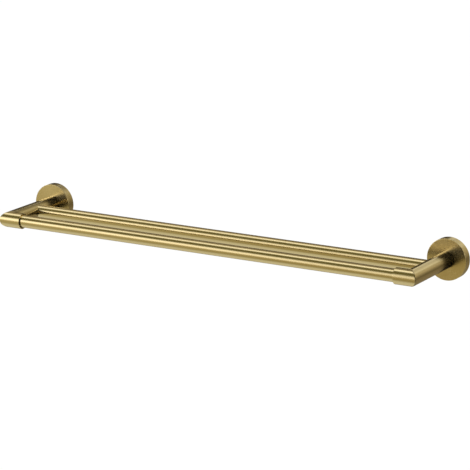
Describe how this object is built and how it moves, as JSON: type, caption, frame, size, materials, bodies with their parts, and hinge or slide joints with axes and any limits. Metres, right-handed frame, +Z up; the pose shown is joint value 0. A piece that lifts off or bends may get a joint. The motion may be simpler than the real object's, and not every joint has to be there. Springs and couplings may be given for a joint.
{
  "type": "double towel rail",
  "caption": "Wall-mounted double towel rail: parallel round bars between mitred arms on round rosettes, with concealed wall brackets.",
  "frame": {"origin": "on the wall plane, midway between the two arms and level with their axes: the centre of the four wall screw holes", "axes": "+X along the bars to the right as seen from the room, +Y into the wall, +Z up; the rail stands out towards -Y"},
  "size_m": [0.655, 0.1238, 0.055],
  "materials": {
    "brushed_brass": "brushed brass-gold, satin",
    "turned_brass": "plain turned brass, inside the joints",
    "bracket_steel": "plain cut stainless steel",
    "screw_steel": "plain stainless steel"
  },
  "bodies": {
    "root": {"front_bar": "brushed_brass", "back_bar": "brushed_brass", "left_wall_bracket": "bracket_steel", "right_wall_bracket": "bracket_steel", "left_rosette": "brushed_brass", "right_rosette": "brushed_brass", "left_arm": "brushed_brass", "right_arm": "brushed_brass", "left_corner_sleeve": "brushed_brass", "right_corner_sleeve": "brushed_brass", "left_front_bar_spigot": "turned_brass", "right_front_bar_spigot": "turned_brass", "left_back_bar_plug": "turned_brass", "right_back_bar_plug": "turned_brass", "arm_screws": "screw_steel", "arm_spring_washers": "screw_steel", "corner_screws": "screw_steel", "corner_dowels": "screw_steel", "rosette_grub_screws": "screw_steel", "back_bar_grub_screws": "screw_steel", "front_bar_grub_screws": "screw_steel"}
  },
  "joints": []
}
